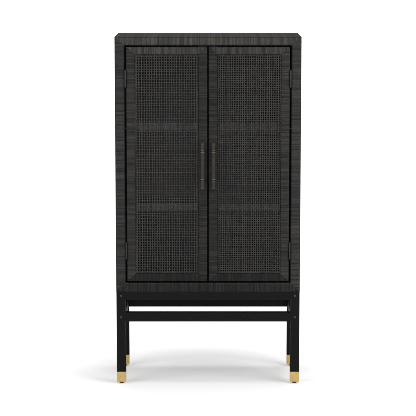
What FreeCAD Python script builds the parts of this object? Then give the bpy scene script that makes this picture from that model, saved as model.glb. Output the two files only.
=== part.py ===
"""Tall two-door cabinet on an open stand: cord-wrapped case and doors, woven door panels.

The front faces -Y, +Z is up and the floor is at zero. Sizes are millimetres.
"""
import FreeCAD, Part
import math
import os
import re

import Sketcher

from FreeCAD import Placement, Rotation, Vector

doc = FreeCAD.newDocument("Cabinet")
TOUCHING = 1e-6

# ---------------------------------------------------------------- driving dimensions
SIZES = {
    # case, outside the cord
    "case_width": 973,
    "case_depth": 457,
    "case_height": 1346,
    "side_board": 52,
    "top_board": 46,
    "bottom_board": 49,
    "cord_layer": 3,
    "cord_round": 6,
    "return_depth": 40,
    "back_thickness": 8,
    "back_rebate": 14,
    "back_edge_gap": 1,
    # shelves, heights taken from the underside of the case
    "shelf_thickness": 20,
    "shelf_end_gap": 1.5,
    "shelf_setback": 18,
    "shelf_low": 449,
    "shelf_high": 877,
    "shelf_pin_radius": 3,
    "shelf_pin_length": 26,
    "shelf_pin_inset": 60,
    # doors
    "door_thickness": 25,
    "door_gap_side": 8,
    "door_gap_end": 7,
    "door_stile": 45,
    "door_top_rail": 39,
    "door_bottom_rail": 42,
    "door_round": 4.5,
    "panel_thickness": 6,
    "panel_setback": 5,
    "panel_groove": 5,
    "panel_edge_gap": 0.5,
    "cross_rail_height": 43,
    "cross_rail_low": 393,
    "cross_rail_high": 821,
    # butt hinges
    "hinge_length": 85,
    "hinge_inset": 165,
    "hinge_proud": 3,
    "barrel_radius": 4.75,
    "leaf_thickness": 1.5,
    "leaf_reach": 20,
    "knuckle_gap": 0.3,
    "knuckle_count": 5,
    "hinge_pin_radius": 2,
    "pin_clearance": 0.05,
    "pin_cap": 2,
    "hinge_screw_pitch": 30,
    # handles
    "handle_length": 235,
    "handle_post_pitch": 154,
    "handle_edge_inset": 25,
    "handle_standoff": 28,
    "handle_rod_radius": 6,
    "handle_cord_radius": 9.2,
    "handle_post_radius": 4.5,
    "ring_radius": 9.8,
    "ring_width": 3,
    "ring_pitch": 13,
    "cap_thickness": 3,
    "handle_screw_bite": 12,
    # magnetic catches
    "catch_width": 44,
    "catch_depth": 14,
    "catch_height": 18,
    "catch_offset": 30,
    "strike_width": 30,
    "strike_height": 11,
    "strike_thickness": 1.2,
    "strike_inset": 6,
    "catch_gap": 0.3,
    # stand
    "stand_height": 498,
    "stand_inset": 1,
    "leg_size": 48.5,
    "rail_setback": 1.75,
    "apron_height": 43.5,
    "stretcher_height": 48,
    "stretcher_bottom": 337,
    "wood_round": 2,
    "tenon_thickness": 15,
    "tenon_shoulder": 8,
    "front_tenon": 18,
    "side_tenon": 10,
    # stand fastenings
    "bolt_radius": 3,
    "bolt_clearance": 0.3,
    "bolt_length": 95,
    "bolt_head_radius": 5,
    "bolt_head_height": 4,
    "bolt_sink": 5,
    "bolt_sink_radius": 6.5,
    "nut_radius": 5,
    "nut_length": 24,
    "nut_inset": 34,
    "thread_bite": 0.1,
    "bolt_hole_spare": 4,
    "fit_clearance": 0.05,
    "case_screw_radius": 2.5,
    "case_screw_length": 62,
    "case_screw_sink": 14,
    "case_screw_pitch": 290,
    # feet
    "ferrule_height": 55,
    "ferrule_lift": 10,
    "ferrule_wall": 2,
    "ferrule_floor": 5,
    "ferrule_round": 4,
    "round_share": 0.9,
    "glide_radius": 12,
    "glide_gap": 0.3,
    "glide_stem_radius": 4,
    "glide_stem_length": 26,
    "stem_clearance": 0.1,
    "insert_radius": 7,
    "insert_length": 22,
    # wood screws
    "screw_radius": 1.75,
    "screw_head_radius": 3.4,
    "screw_head_height": 1.4,
    "screw_length": 20,
}

sheet = doc.addObject("Spreadsheet::Sheet", "Sizes")
for row, (alias, value) in enumerate(SIZES.items(), start=1):
    sheet.set(f"A{row}", alias)
    sheet.set(f"B{row}", str(value))
    sheet.setAlias(f"B{row}", alias)
doc.recompute()


def bound(text):
    """Turn the size names in a formula into references to the sheet."""
    return re.sub(r"\b(?!min\b)([a-z][a-z_]*)\b", r"Sizes.\1", text)


# ---------------------------------------------------------------- places worked out from the sizes
FRONT = "((handle_standoff + ring_radius - case_depth) / 2)"
MIDDLE = f"({FRONT} + case_depth / 2)"
HALF_WIDTH = "(case_width / 2)"
CASE_LOW = "stand_height"
CASE_HIGH = "(stand_height + case_height)"
HALF_OPENING = "(case_width / 2 - side_board)"
DOOR_OUTER = "(case_width / 2 - side_board - door_gap_side)"
DOOR_WIDTH = f"({DOOR_OUTER} - door_gap_side / 2)"
DOOR_LOW = "(stand_height + bottom_board + door_gap_end)"
DOOR_HIGH = "(stand_height + case_height - top_board - door_gap_end)"
HINGE_X = "(case_width / 2 - side_board - door_gap_side / 2)"
HINGE_Y = f"({FRONT} - hinge_proud)"
HINGE_HEIGHTS = (f"({DOOR_LOW} + hinge_inset)", f"({DOOR_HIGH} - hinge_inset)")
PANEL_BACK = "(panel_setback + panel_thickness)"
HANDLE_X = "(door_gap_side / 2 + handle_edge_inset)"
HANDLE_Y = f"({FRONT} - handle_standoff)"
HANDLE_Z = f"(({DOOR_LOW} + {DOOR_HIGH}) / 2)"
LEG_X = "(case_width / 2 - stand_inset - leg_size / 2)"
LEG_Y = "(case_depth / 2 - stand_inset - leg_size / 2)"
RAIL_SIZE = "(leg_size - 2 * rail_setback)"
APRON_LOW = "(stand_height - apron_height)"
FOOT = "(ferrule_lift + ferrule_floor)"
RAIL_LEVELS = {"apron": (APRON_LOW, "apron_height"), "stretcher": ("stretcher_bottom", "stretcher_height")}
BOLT_LEVELS = [f"({low} + {high} / 2)" for low, high in RAIL_LEVELS.values()]
BOLT_START = "(bolt_sink - bolt_head_height)"

SIDES = {"left": -1, "right": 1}
ENDS = {"front": -1, "rear": 1}
TO_PLUS_X = Rotation(Vector(0, 1, 0), 90)
TO_MINUS_X = Rotation(Vector(0, 1, 0), -90)
TO_PLUS_Y = Rotation(Vector(1, 0, 0), -90)
TO_MINUS_Y = Rotation(Vector(1, 0, 0), 90)
UPRIGHT = Rotation()
sub_parts = []


# ---------------------------------------------------------------- steps shared by the pieces
def keep(piece, label):
    """Name a finished sub-part and put it on the list of pieces that are written out."""
    piece.Label = label
    sub_parts.append(piece)
    return piece


def set_place(piece, x="0", y="0", z="0", turn=UPRIGHT):
    """Put a piece at a point given by formulas, turned about its own origin."""
    piece.Placement = Placement(Vector(0, 0, 0), turn)
    for letter, text in zip("xyz", (x, y, z)):
        piece.setExpression(f"Placement.Base.{letter}", bound(text))
    return piece


def new_body(name):
    """An empty body, named for the piece it becomes."""
    return doc.addObject("PartDesign::Body", name)


def new_sketch(body, plane, offset):
    """A sketch on one of the body's own origin planes, moved along its normal."""
    sketch = body.newObject("Sketcher::SketchObject", f"{body.Name}_sketch")
    sketch.AttachmentSupport = [(next(p for p in body.Origin.OriginFeatures if p.Role == plane), "")]
    sketch.MapMode = "FlatFace"
    sketch.setExpression("AttachmentOffset.Base.z", bound(offset))
    return sketch


def fix_point(sketch, edge, end, x, y):
    """Hold one point of a sketch at a place given by two formulas."""
    for kind, text in (("DistanceX", x), ("DistanceY", y)):
        index = sketch.addConstraint(Sketcher.Constraint(kind, -1, 1, edge, end, 1.0))
        sketch.setExpression(f"Constraints[{index}]", bound(text))


def outlines(body, plane, loops, offset="0"):
    """A sketch of closed outlines, each a list of corners given by formulas."""
    sketch = new_sketch(body, plane, offset)
    for corners in loops:
        count = len(corners)
        turns = [2 * math.pi * index / count for index in range(count)]
        rough = [Vector(math.cos(turn), math.sin(turn), 0) for turn in turns]
        first = sketch.GeometryCount
        for index in range(count):
            sketch.addGeometry(Part.LineSegment(rough[index], rough[(index + 1) % count]), False)
        for index, (x, y) in enumerate(corners):
            following = first + (index + 1) % count
            sketch.addConstraint(Sketcher.Constraint("Coincident", first + index, 2, following, 1))
            fix_point(sketch, first + index, 1, x, y)
    return sketch


def circles(body, plane, rings, offset="0"):
    """A sketch of circles, each a centre and a radius given by formulas."""
    sketch = new_sketch(body, plane, offset)
    for x, y, radius in rings:
        edge = sketch.addGeometry(Part.Circle(Vector(1, 1, 0), Vector(0, 0, 1), 1), False)
        index = sketch.addConstraint(Sketcher.Constraint("Radius", edge, 1.0))
        sketch.setExpression(f"Constraints[{index}]", bound(radius))
        fix_point(sketch, edge, 3, x, y)
    return sketch


def rectangle(left, low, right, high):
    """The four corners of a rectangle."""
    return [(left, low), (right, low), (right, high), (left, high)]


def pad(body, sketch, length, both_ways=False):
    """Add the outline's area, along its normal or to both sides of it."""
    feature = body.newObject("PartDesign::Pad", f"{body.Name}_pad")
    feature.Profile = sketch
    feature.SideType = "Symmetric" if both_ways else "One side"
    feature.setExpression("Length", bound(length))
    doc.recompute()
    return feature


def cut(body, sketch, depth="", along_normal=False):
    """Take the outline's area out of the body, to a depth or all the way through."""
    before = body.Shape.Volume
    feature = body.newObject("PartDesign::Pocket", f"{body.Name}_cut")
    feature.Profile = sketch
    if depth:
        feature.setExpression("Length", bound(depth))
        feature.Reversed = along_normal
    else:
        feature.SideType = "Symmetric"
        feature.Type = "ThroughAll"
    doc.recompute()
    if body.Shape.Volume >= before:
        raise RuntimeError(f"{feature.Name} cuts nothing")
    return feature


def round_edges(body, radius, choose):
    """Round the edges that choose() picks, given each edge and the body's box."""
    base = body.Tip
    limits = base.Shape.BoundBox
    names = [f"Edge{n}" for n, edge in enumerate(base.Shape.Edges, start=1) if choose(edge, limits)]
    feature = body.newObject("PartDesign::Fillet", f"{body.Name}_round")
    feature.Base = (base, names)
    feature.setExpression("Radius", bound(radius))
    doc.recompute()
    return feature


def runs_along(edge, letter):
    """Whether an edge is straight and lies along X, Y or Z."""
    lengths = {"X": edge.BoundBox.XLength, "Y": edge.BoundBox.YLength, "Z": edge.BoundBox.ZLength}
    return all((length > TOUCHING) == (name == letter) for name, length in lengths.items())


def box(name, width, depth, height, x, y, z):
    """A plain box from its low corner."""
    item = doc.addObject("Part::Box", name)
    for size, text in (("Length", width), ("Width", depth), ("Height", height)):
        item.setExpression(size, bound(text))
    return set_place(item, x, y, z)


def rod(name, radius, length, x="0", y="0", z="0", turn=UPRIGHT):
    """A cylinder that starts at a point and runs the way it is turned."""
    item = doc.addObject("Part::Cylinder", name)
    item.setExpression("Radius", bound(radius))
    item.setExpression("Height", bound(length))
    return set_place(item, x, y, z, turn)


def joined(name, pieces):
    """One solid made of several."""
    item = doc.addObject("Part::MultiFuse", name)
    item.Shapes = pieces
    item.Refine = True
    return item


def less(name, base, tool):
    """One solid with another taken out of it."""
    item = doc.addObject("Part::Cut", name)
    item.Base = base
    item.Tool = tool
    return item


def group(label, pieces):
    """Like pieces that share one sub-part, each still a solid of its own."""
    item = doc.addObject("Part::Compound", label)
    item.Links = pieces
    return keep(item, label)


def wood_screw(name, x, y, z, turn):
    """A countersunk screw that starts at its head's face."""
    head = doc.addObject("Part::Cone", f"{name}_head")
    head.setExpression("Radius1", bound("screw_head_radius"))
    head.setExpression("Radius2", bound("screw_radius"))
    head.setExpression("Height", bound("screw_head_height"))
    shank = rod(f"{name}_shank", "screw_radius", "screw_length")
    return set_place(joined(name, [head, shank]), x, y, z, turn)


def headed_bolt(name, radius, length, head_radius, head_height, place):
    """A bolt with a round head, starting at the head's face."""
    head = rod(f"{name}_head", head_radius, head_height)
    shank = rod(f"{name}_shank", radius, length)
    return set_place(joined(name, [head, shank]), *place)


# ---------------------------------------------------------------- stand
def leg(side, end):
    """A square leg: a smaller foot inside the ferrule, mortises, bolt holes and a bore for the glide."""
    s = SIDES[side]
    e = ENDS[end]
    half = "leg_size / 2"
    inner = "(leg_size / 2 - ferrule_wall)"
    body = new_body(f"leg_{end}_{side}")
    shoulder = "(ferrule_lift + ferrule_height)"
    post = outlines(body, "XY_Plane", [rectangle(f"-{half}", f"-{half}", half, half)], shoulder)
    pad(body, post, f"stand_height - {shoulder}")
    round_edges(body, "wood_round", lambda edge, limits: runs_along(edge, "Z"))
    foot = outlines(body, "XY_Plane", [rectangle(f"-{inner}", f"-{inner}", inner, inner)], FOOT)
    pad(body, foot, f"{shoulder} - {FOOT}")
    thin = "tenon_thickness / 2"
    for low, height in RAIL_LEVELS.values():
        bottom = f"{low} + tenon_shoulder"
        top = f"{low} + {height} - tenon_shoulder"
        slot = rectangle(f"-{thin}", bottom, thin, top)
        cut(body, outlines(body, "YZ_Plane", [slot], f"-({s}) * {half}"), "front_tenon", s > 0)
        cut(body, outlines(body, "XZ_Plane", [slot], f"{e} * {half}"), "side_tenon", e < 0)
    holes = [("0", level, "bolt_radius + bolt_clearance") for level in BOLT_LEVELS]
    cut(body, circles(body, "XZ_Plane", holes))
    sinks = [("0", level, "bolt_sink_radius") for level in BOLT_LEVELS]
    cut(body, circles(body, "XZ_Plane", sinks, f"-({e}) * {half}"), "bolt_sink", e > 0)
    bore = circles(body, "XY_Plane", [("0", "0", "insert_radius + fit_clearance")], FOOT)
    cut(body, bore, "insert_length", True)
    set_place(body, f"{s} * {LEG_X}", f"{MIDDLE} + {e} * {LEG_Y}", "0")
    return keep(body, f"leg_{end}_{side}")


def rail_blank(name, length, height, tenon):
    """A square-section rail along X with a tenon on each end."""
    body = new_body(name)
    half = f"{RAIL_SIZE} / 2"
    pad(body, outlines(body, "YZ_Plane", [rectangle(f"-{half}", "0", half, height)]), length, True)
    round_edges(body, "wood_round", lambda edge, limits: runs_along(edge, "X"))
    thin = "tenon_thickness / 2"
    ends = rectangle(f"-{thin}", "tenon_shoulder", thin, f"{height} - tenon_shoulder")
    pad(body, outlines(body, "YZ_Plane", [ends]), f"{length} + 2 * {tenon}", True)
    return body


def cross_rail_of_stand(kind, end):
    """A front or rear rail between the legs; an apron also carries the screws up into the case."""
    e = ENDS[end]
    low, height = RAIL_LEVELS[kind]
    body = rail_blank(f"{kind}_{end}", f"2 * ({LEG_X} - leg_size / 2)", height, "front_tenon")
    if kind == "apron":
        spots = [f"{step} * case_screw_pitch" for step in (-1, 0, 1)]
        holes = [(x, "0", "case_screw_radius + bolt_clearance") for x in spots]
        cut(body, circles(body, "XY_Plane", holes))
        sinks = [(x, "0", "bolt_sink_radius") for x in spots]
        cut(body, circles(body, "XY_Plane", sinks), "case_screw_sink", True)
    set_place(body, "0", f"{MIDDLE} + {e} * {LEG_Y}", low)
    return keep(body, f"{kind}_{end}")


def side_rail_of_stand(kind, side):
    """A side rail between the legs, bored at each end for a bolt and its barrel nut."""
    s = SIDES[side]
    low, height = RAIL_LEVELS[kind]
    length = f"2 * ({LEG_Y} - leg_size / 2)"
    body = rail_blank(f"{kind}_{side}", length, height, "side_tenon")
    hole = [("0", f"{height} / 2", "bolt_radius + bolt_clearance")]
    depth = f"side_tenon + bolt_length + {BOLT_START} - leg_size + bolt_hole_spare"
    tip = f"({length} / 2 + side_tenon)"
    cut(body, circles(body, "YZ_Plane", hole, tip), depth)
    cut(body, circles(body, "YZ_Plane", hole, f"-{tip}"), depth, True)
    nut_x = f"({length} / 2 - nut_inset)"
    nut_holes = [(f"{step} * {nut_x}", f"{height} / 2", "nut_radius + fit_clearance") for step in (-1, 1)]
    cut(body, circles(body, "XZ_Plane", nut_holes, f"{RAIL_SIZE} / 2"), f"{RAIL_SIZE} / 2 + nut_length / 2")
    set_place(body, f"{s} * {LEG_X}", MIDDLE, low, Rotation(Vector(0, 0, 1), -90 * s))
    return keep(body, f"{kind}_{side}")


def stand_fastenings():
    """Bolts through the legs into barrel nuts in the side rails, and screws up into the case."""
    bolts = []
    nuts = []
    for side, s in SIDES.items():
        for end, e in ENDS.items():
            for number, level in enumerate(BOLT_LEVELS):
                tail = f"{end}_{side}_{number}"
                x = f"{s} * {LEG_X}"
                y = f"{MIDDLE} + {e} * ({LEG_Y} + leg_size / 2 - {BOLT_START})"
                spot = (x, y, level, TO_PLUS_Y if e < 0 else TO_MINUS_Y)
                sizes = ("bolt_radius", "bolt_length", "bolt_head_radius", "bolt_head_height")
                bolts.append(headed_bolt(f"bolt_{tail}", *sizes, spot))
                nut_y = f"{MIDDLE} + {e} * ({LEG_Y} - leg_size / 2 - nut_inset)"
                nut = rod(f"nut_{tail}_round", "nut_radius", "nut_length", f"{x} - nut_length / 2", nut_y,
                          level, TO_PLUS_X)
                thread = rod(f"nut_{tail}_thread", "bolt_radius - thread_bite", "4 * nut_radius", x,
                             f"{nut_y} - 2 * nut_radius", level, TO_PLUS_Y)
                nuts.append(less(f"nut_{tail}", nut, thread))
    group("frame_bolts", bolts)
    group("barrel_nuts", nuts)
    screws = []
    for end, e in ENDS.items():
        for step in (-1, 0, 1):
            spot = (f"{step} * case_screw_pitch", f"{MIDDLE} + {e} * {LEG_Y}",
                    f"{APRON_LOW} + case_screw_sink - bolt_head_height", UPRIGHT)
            sizes = ("case_screw_radius", "case_screw_length", "bolt_head_radius", "bolt_head_height")
            screws.append(headed_bolt(f"case_screw_{end}_{step + 1}", *sizes, spot))
    group("case_screws", screws)


def ferrule(side, end):
    """A square brass cup over the foot of a leg, open to the glide below."""
    half = "leg_size / 2"
    inner = "(leg_size / 2 - ferrule_wall)"
    body = new_body(f"ferrule_{end}_{side}")
    outer = outlines(body, "XY_Plane", [rectangle(f"-{half}", f"-{half}", half, half)], "ferrule_lift")
    pad(body, outer, "ferrule_height")
    round_edges(body, "wood_round", lambda edge, limits: runs_along(edge, "Z"))
    round_edges(body, "min(ferrule_round; ferrule_floor * round_share)",
                lambda edge, limits: edge.BoundBox.ZMax < limits.ZMin + TOUCHING)
    cup = outlines(body, "XY_Plane", [rectangle(f"-{inner}", f"-{inner}", inner, inner)], FOOT)
    cut(body, cup, "ferrule_height", True)
    cut(body, circles(body, "XY_Plane", [("0", "0", "insert_radius")]))
    return set_place(body, f"{SIDES[side]} * {LEG_X}", f"{MIDDLE} + {ENDS[end]} * {LEG_Y}", "0")


def glide_insert(side, end):
    """A threaded sleeve in the foot of a leg, which the glide's stem runs in."""
    x = f"{SIDES[side]} * {LEG_X}"
    y = f"{MIDDLE} + {ENDS[end]} * {LEG_Y}"
    tail = f"{end}_{side}"
    outer = rod(f"insert_{tail}_outer", "insert_radius", "insert_length", x, y, FOOT)
    bore = rod(f"insert_{tail}_bore", "glide_stem_radius + stem_clearance", "insert_length", x, y, FOOT)
    return less(f"insert_{tail}", outer, bore)


def glide(side, end):
    """A levelling glide: a round pad on a stem, turned in one piece."""
    body = new_body(f"glide_{end}_{side}")
    height = "(ferrule_lift - glide_gap)"
    corners = [("0", "0"), ("glide_radius - ferrule_wall", "0"), ("glide_radius", "ferrule_wall"),
               ("glide_radius", f"{height} - ferrule_wall"), ("glide_stem_radius + ferrule_wall", height),
               ("glide_stem_radius", height), ("glide_stem_radius", f"{height} + glide_stem_length"),
               ("0", f"{height} + glide_stem_length")]
    sketch = outlines(body, "XZ_Plane", [corners])
    turned = body.newObject("PartDesign::Revolution", f"{body.Name}_turned")
    turned.Profile = sketch
    turned.ReferenceAxis = (sketch, ["V_Axis"])
    turned.Angle = 360
    set_place(body, f"{SIDES[side]} * {LEG_X}", f"{MIDDLE} + {ENDS[end]} * {LEG_Y}", "0")
    return keep(body, f"glide_{end}_{side}")


# ---------------------------------------------------------------- mitred rings: the case and the door frames
def mitred_member(name, profile, length, width, cuts, corners_to_round, radius):
    """One member of a ring: its section run along Z, rounded, then mitred at both ends.

    The section's first direction goes from the outside of the ring to the inside and its second
    from the front to the back; cuts holds the widths of the members that it meets.
    """
    body = new_body(name)
    pad(body, outlines(body, "XY_Plane", [profile]), length)
    if corners_to_round:
        round_edges(body, radius, corners_to_round)
    low, high = (f"({cut_width} / {width})" for cut_width in cuts)
    spare = "cord_round"
    beyond = f"({width} + {spare})"
    low_end = [(f"-{spare}", f"-{spare} * {low}"), (beyond, f"{beyond} * {low}"),
               (beyond, f"-{spare} * {low}")]
    high_end = [(f"-{spare}", f"{length} + {spare} * {high}"), (beyond, f"{length} - {beyond} * {high}"),
                (beyond, f"{length} + {spare} * {high}")]
    cut(body, outlines(body, "XZ_Plane", [low_end, high_end]))
    return body


def ring_place(body, member, left, right, low, high):
    """Turn and move a member to its side of a ring, going round clockwise from the lower left."""
    spots = {"left": (left, low, 0), "top": (left, high, 90), "right": (right, high, 180),
             "bottom": (right, low, 270)}
    x, z, angle = spots[member]
    return set_place(body, x, FRONT, z, Rotation(Vector(0, 1, 0), angle))


RING = ["left", "top", "right", "bottom"]


def outer_wrap_edges(edge, limits):
    """The long outer edges of a case wrap that show at the front."""
    box_of_edge = edge.BoundBox
    at_side = abs(box_of_edge.XMin - limits.XMin) < TOUCHING or abs(box_of_edge.XMax - limits.XMax) < TOUCHING
    return runs_along(edge, "Z") and at_side and abs(box_of_edge.YMin - limits.YMin) < TOUCHING


def outer_sleeve_edges(edge, limits):
    """The four long outer edges of a door frame's sleeve."""
    box_of_edge = edge.BoundBox
    at_side = abs(box_of_edge.XMin - limits.XMin) < TOUCHING or abs(box_of_edge.XMax - limits.XMax) < TOUCHING
    at_face = abs(box_of_edge.YMin - limits.YMin) < TOUCHING or abs(box_of_edge.YMax - limits.YMax) < TOUCHING
    return runs_along(edge, "Z") and at_side and at_face


def case_boards():
    """Four mitred boards with a rebate for the back, and the cord that wraps their outside and front."""
    widths = {"left": "side_board", "top": "top_board", "right": "side_board", "bottom": "bottom_board"}
    for number, member in enumerate(RING):
        width = widths[member]
        cuts = (widths[RING[number - 1]], widths[RING[(number + 1) % 4]])
        length = "case_height" if member in ("left", "right") else "case_width"
        inside = f"{width} - cord_layer"
        board = [("cord_layer", "cord_layer"), (inside, "cord_layer"), (inside, "return_depth"),
                 (width, "return_depth"), (width, "case_depth - back_thickness"),
                 (f"{width} - back_rebate", "case_depth - back_thickness"),
                 (f"{width} - back_rebate", "case_depth"), ("cord_layer", "case_depth")]
        wrap = [("0", "0"), (width, "0"), (width, "return_depth"), (inside, "return_depth"),
                (inside, "cord_layer"), ("cord_layer", "cord_layer"), ("cord_layer", "case_depth"),
                ("0", "case_depth")]
        names = {"left": "side_left", "right": "side_right"}
        name = names.get(member, member)
        plain = mitred_member(f"{name}_board", board, length, width, cuts, None, "")
        cord = mitred_member(f"{name}_cord_wrap", wrap, length, width, cuts, outer_wrap_edges, "cord_round")
        for body in (plain, cord):
            ring_place(body, member, f"-{HALF_WIDTH}", HALF_WIDTH, CASE_LOW, CASE_HIGH)
        keep(plain, f"case_{name}_board")
        keep(cord, f"case_{name}_cord_wrap")


def door_frame(side):
    """The four mitred members of a door, the cross rails between them and the cord round each one."""
    s = SIDES[side]
    inner = "(door_gap_side / 2)"
    left, right = (f"-{DOOR_OUTER}", f"-{inner}") if s < 0 else (inner, DOOR_OUTER)
    widths = {"left": "door_stile", "top": "door_top_rail", "right": "door_stile",
              "bottom": "door_bottom_rail"}
    members = {}
    sleeves = []
    for number, member in enumerate(RING):
        width = widths[member]
        cuts = (widths[RING[number - 1]], widths[RING[(number + 1) % 4]])
        length = f"({DOOR_HIGH} - {DOOR_LOW})" if member in ("left", "right") else DOOR_WIDTH
        inside = f"{width} - cord_layer"
        groove = f"{inside} - panel_groove"
        back = "door_thickness - cord_layer"
        core = [("cord_layer", "cord_layer"), (inside, "cord_layer"), (inside, "panel_setback"),
                (groove, "panel_setback"), (groove, PANEL_BACK), (inside, PANEL_BACK), (inside, back),
                ("cord_layer", back)]
        sleeve = [("0", "0"), (width, "0"), (width, "panel_setback"), (inside, "panel_setback"),
                  (inside, "cord_layer"), ("cord_layer", "cord_layer"), ("cord_layer", back),
                  (inside, back), (inside, PANEL_BACK), (width, PANEL_BACK), (width, "door_thickness"),
                  ("0", "door_thickness")]
        name = f"{side}_door_{member}"
        members[member] = mitred_member(f"{name}_core", core, length, width, cuts, None, "")
        cord = mitred_member(f"{name}_sleeve", sleeve, length, width, cuts, outer_sleeve_edges,
                             "min(door_round; panel_setback * round_share)")
        sleeves.append(cord)
        for body in (members[member], cord):
            ring_place(body, member, left, right, DOOR_LOW, DOOR_HIGH)
    group(f"{side}_door_stiles", [members["left"], members["right"]])
    group(f"{side}_door_rails", [members["top"], members["bottom"]])
    cores = []
    for name, height in (("low", "cross_rail_low"), ("high", "cross_rail_high")):
        x = f"{left} + door_stile"
        y = f"{FRONT} + {PANEL_BACK}"
        z = f"{DOOR_LOW} + {height} - cross_rail_height / 2"
        long = f"{DOOR_WIDTH} - 2 * door_stile"
        deep = f"(door_thickness - {PANEL_BACK})"
        tag = f"{side}_cross_{name}"
        inner_sizes = (long, f"{deep} - 2 * cord_layer", "cross_rail_height - 2 * cord_layer")
        inner_place = (x, f"{y} + cord_layer", f"{z} + cord_layer")
        cores.append(box(f"{tag}_core", *inner_sizes, *inner_place))
        hollow = box(f"{tag}_hollow", *inner_sizes, *inner_place)
        solid = box(f"{tag}_outside", long, deep, "cross_rail_height", x, y, z)
        sleeves.append(less(f"{tag}_sleeve", solid, hollow))
    group(f"{side}_door_cross_rails", cores)
    group(f"{side}_door_cord_wrap", sleeves)


def woven_panel(side):
    """The woven cord panel, held by its edges in the grooves of the door frame."""
    s = SIDES[side]
    margin = "(cord_layer + panel_groove - panel_edge_gap)"
    width = f"({DOOR_WIDTH} - 2 * (door_stile - {margin}))"
    near = f"(door_gap_side / 2 + door_stile - {margin})"
    x = near if s > 0 else f"-{near} - {width}"
    low = f"({DOOR_LOW} + door_bottom_rail - {margin})"
    high = f"({DOOR_HIGH} - door_top_rail + {margin})"
    panel = box(f"{side}_panel", width, "panel_thickness", f"{high} - {low}", x,
                f"{FRONT} + panel_setback", low)
    return keep(panel, f"{side}_door_woven_panel")


# ---------------------------------------------------------------- inside the case
def back_panel():
    """The back, let into the rebates and screwed on."""
    half = f"({HALF_OPENING} + back_rebate - back_edge_gap)"
    low = "(stand_height + bottom_board - back_rebate + back_edge_gap)"
    high = f"({CASE_HIGH} - top_board + back_rebate - back_edge_gap)"
    y = f"{FRONT} + case_depth"
    line = f"({HALF_OPENING} + back_rebate / 2)"
    screws = []
    for side, s in SIDES.items():
        for step in range(4):
            z = f"{low} + back_rebate / 2 + ({high} - {low} - back_rebate) * {step} / 3"
            screws.append(wood_screw(f"back_screw_{side}_{step}", f"{s} * {line}", y, z, TO_MINUS_Y))
    for name, z in (("low", f"{low} + back_rebate / 2"), ("high", f"{high} - back_rebate / 2")):
        screws.append(wood_screw(f"back_screw_{name}", "0", y, z, TO_MINUS_Y))
    sheet_of_wood = box("back_sheet", f"2 * {half}", "back_thickness", f"{high} - {low}", f"-{half}",
                        f"{y} - back_thickness", low)
    screw_group = group("back_screws", screws)
    keep(less("back_with_holes", sheet_of_wood, screw_group), "case_back_panel")


def shelf(name, height):
    """A loose shelf, resting on four pins."""
    z = f"stand_height + {height} - shelf_thickness / 2"
    width = f"2 * ({HALF_OPENING} - shelf_end_gap)"
    start = f"({FRONT} + door_thickness + shelf_setback)"
    depth = f"{FRONT} + case_depth - back_thickness - {start}"
    board = box(f"shelf_{name}_board", width, depth, "shelf_thickness",
                f"-({HALF_OPENING} - shelf_end_gap)", start, z)
    return keep(board, f"shelf_{name}")


def shelf_pins():
    """Round pins in the sides, four under each shelf."""
    pins = []
    for side, s in SIDES.items():
        for name, height in (("lower", "shelf_low"), ("upper", "shelf_high")):
            for end, e in ENDS.items():
                z = f"stand_height + {height} - shelf_thickness / 2 - shelf_pin_radius"
                y = f"{MIDDLE} + {e} * (case_depth / 2 - shelf_pin_inset)"
                x = f"{s} * ({HALF_OPENING} + shelf_pin_length / 2)"
                turn = TO_MINUS_X if s > 0 else TO_PLUS_X
                tag = f"pin_{side}_{name}_{end}"
                pins.append(rod(tag, "shelf_pin_radius", "shelf_pin_length", x, y, z, turn))
    group("shelf_pins", pins)


def catches():
    """Magnetic catches under the top board, one for each door."""
    blocks = []
    for side, s in SIDES.items():
        x = f"{s} * catch_offset - catch_width / 2"
        y = f"{FRONT} + door_thickness + strike_thickness + catch_gap"
        z = f"{CASE_HIGH} - top_board - catch_height"
        blocks.append(box(f"catch_{side}", "catch_width", "catch_depth", "catch_height", x, y, z))
    group("magnetic_catches", blocks)


def strike_plate(side):
    """The steel plate on the back of a door that its catch holds."""
    x = f"{SIDES[side]} * catch_offset - strike_width / 2"
    z = f"{DOOR_HIGH} - strike_inset - strike_height"
    plate = box(f"strike_{side}", "strike_width", "strike_thickness", "strike_height", x,
                f"{FRONT} + door_thickness", z)
    return keep(plate, f"{side}_door_strike_plate")


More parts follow.
